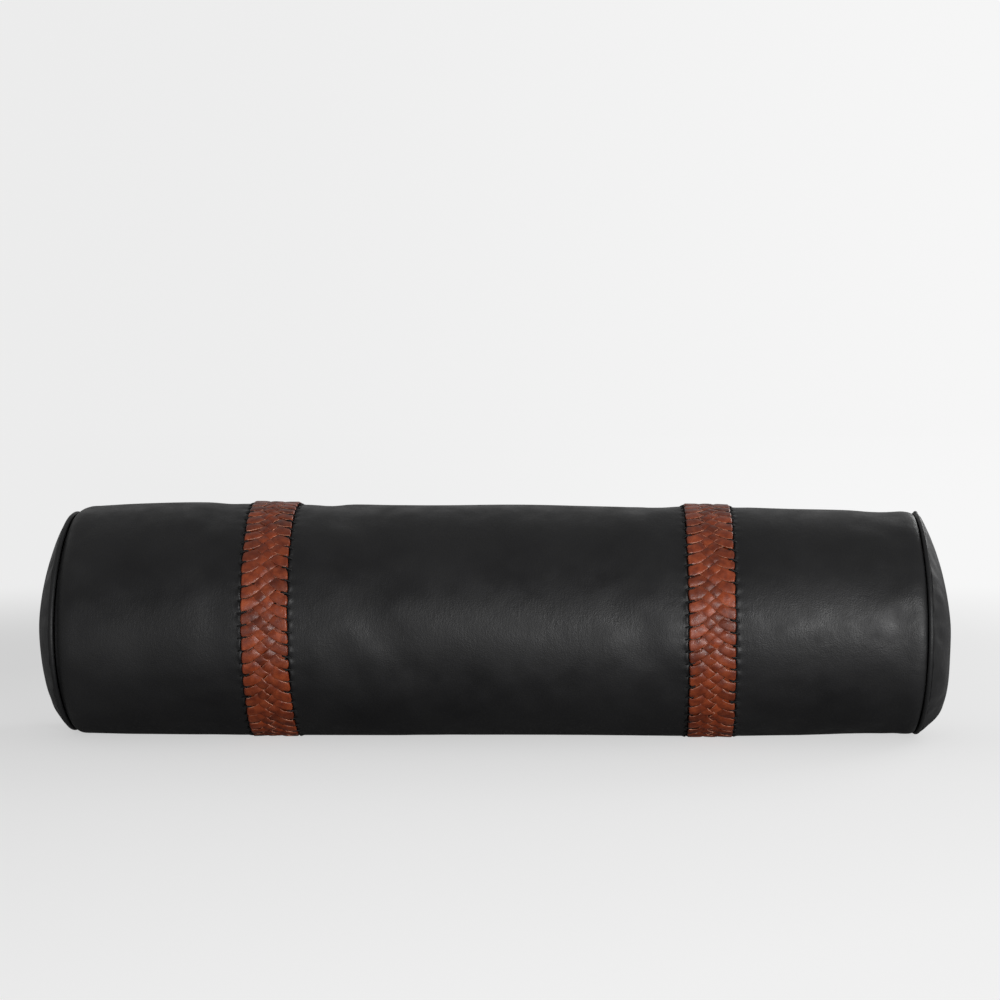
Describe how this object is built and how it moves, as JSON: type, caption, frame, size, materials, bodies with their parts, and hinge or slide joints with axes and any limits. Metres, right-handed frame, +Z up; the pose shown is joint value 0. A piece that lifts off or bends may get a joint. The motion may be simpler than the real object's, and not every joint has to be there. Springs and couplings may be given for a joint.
{
  "type": "bolster throw pillow",
  "caption": "Long round throw pillow in black leather with piped, domed ends, braided leather bands let into the tube and a zip along the back seam.",
  "frame": {"origin": "on the floor, under the middle of the pillow", "axes": "+X along the pillow, towards its right end seen from the front; +Y towards the back, where the zip is; +Z up"},
  "size_m": [0.908, 0.2376, 0.2294],
  "materials": {
    "black_leather": "matte full-grain, black, with a fine grain",
    "braid_leather": "semi-gloss chestnut, cut strips",
    "backing_canvas": "plain woven cotton",
    "black_thread": "waxed thread",
    "piping_cord": "twisted cotton",
    "zip_tape": "woven polyester tape",
    "zip_coil": "moulded coil",
    "zip_metal": "aged brass",
    "insert_ticking": "plain woven cotton ticking",
    "insert_thread": "cotton thread",
    "insert_filling": "loose fibre"
  },
  "bodies": {
    "cover": {"left_panel": "black_leather", "centre_panel": "black_leather", "right_panel": "black_leather", "left_end_cap": "black_leather", "right_end_cap": "black_leather", "left_piping_cover": "black_leather", "right_piping_cover": "black_leather", "left_braid": "braid_leather", "right_braid": "braid_leather", "left_backing_strip": "backing_canvas", "right_backing_strip": "backing_canvas", "left_braid_outer_stitches": "black_thread", "left_braid_inner_stitches": "black_thread", "right_braid_inner_stitches": "black_thread", "right_braid_outer_stitches": "black_thread", "left_end_seam_thread": "black_thread", "right_end_seam_thread": "black_thread", "zip_upper_topstitching": "black_thread", "zip_lower_topstitching": "black_thread", "left_long_seam_stitches": "black_thread", "centre_long_seam_stitches": "black_thread", "right_long_seam_stitches": "black_thread", "left_piping_cord": "piping_cord", "right_piping_cord": "piping_cord", "zip_upper_tape": "zip_tape", "zip_lower_tape": "zip_tape", "zip_upper_coil": "zip_coil", "zip_lower_coil": "zip_coil", "zip_top_stops": "zip_metal", "zip_bottom_stop": "zip_metal", "insert_casing": "insert_ticking", "insert_left_end": "insert_ticking", "insert_right_end": "insert_ticking", "insert_closing_stitches": "insert_thread", "insert_fill": "insert_filling"},
    "zip_slider": {"zip_slider_body": "zip_metal", "zip_slider_bail": "zip_metal"},
    "zip_pull": {"zip_pull_tab": "zip_metal"}
  },
  "joints": [
    {"name": "zip_slide", "type": "slide", "parent": "cover", "child": "zip_slider", "axis": [1, 0, 0], "range_m": [0, 0.287]},
    {"name": "pull_swing", "type": "hinge", "parent": "zip_slider", "child": "zip_pull", "pos_m": [-0.1469, 0.11695, 0.1106], "axis": [0, 0, 1], "range_deg": [0, 175]}
  ]
}
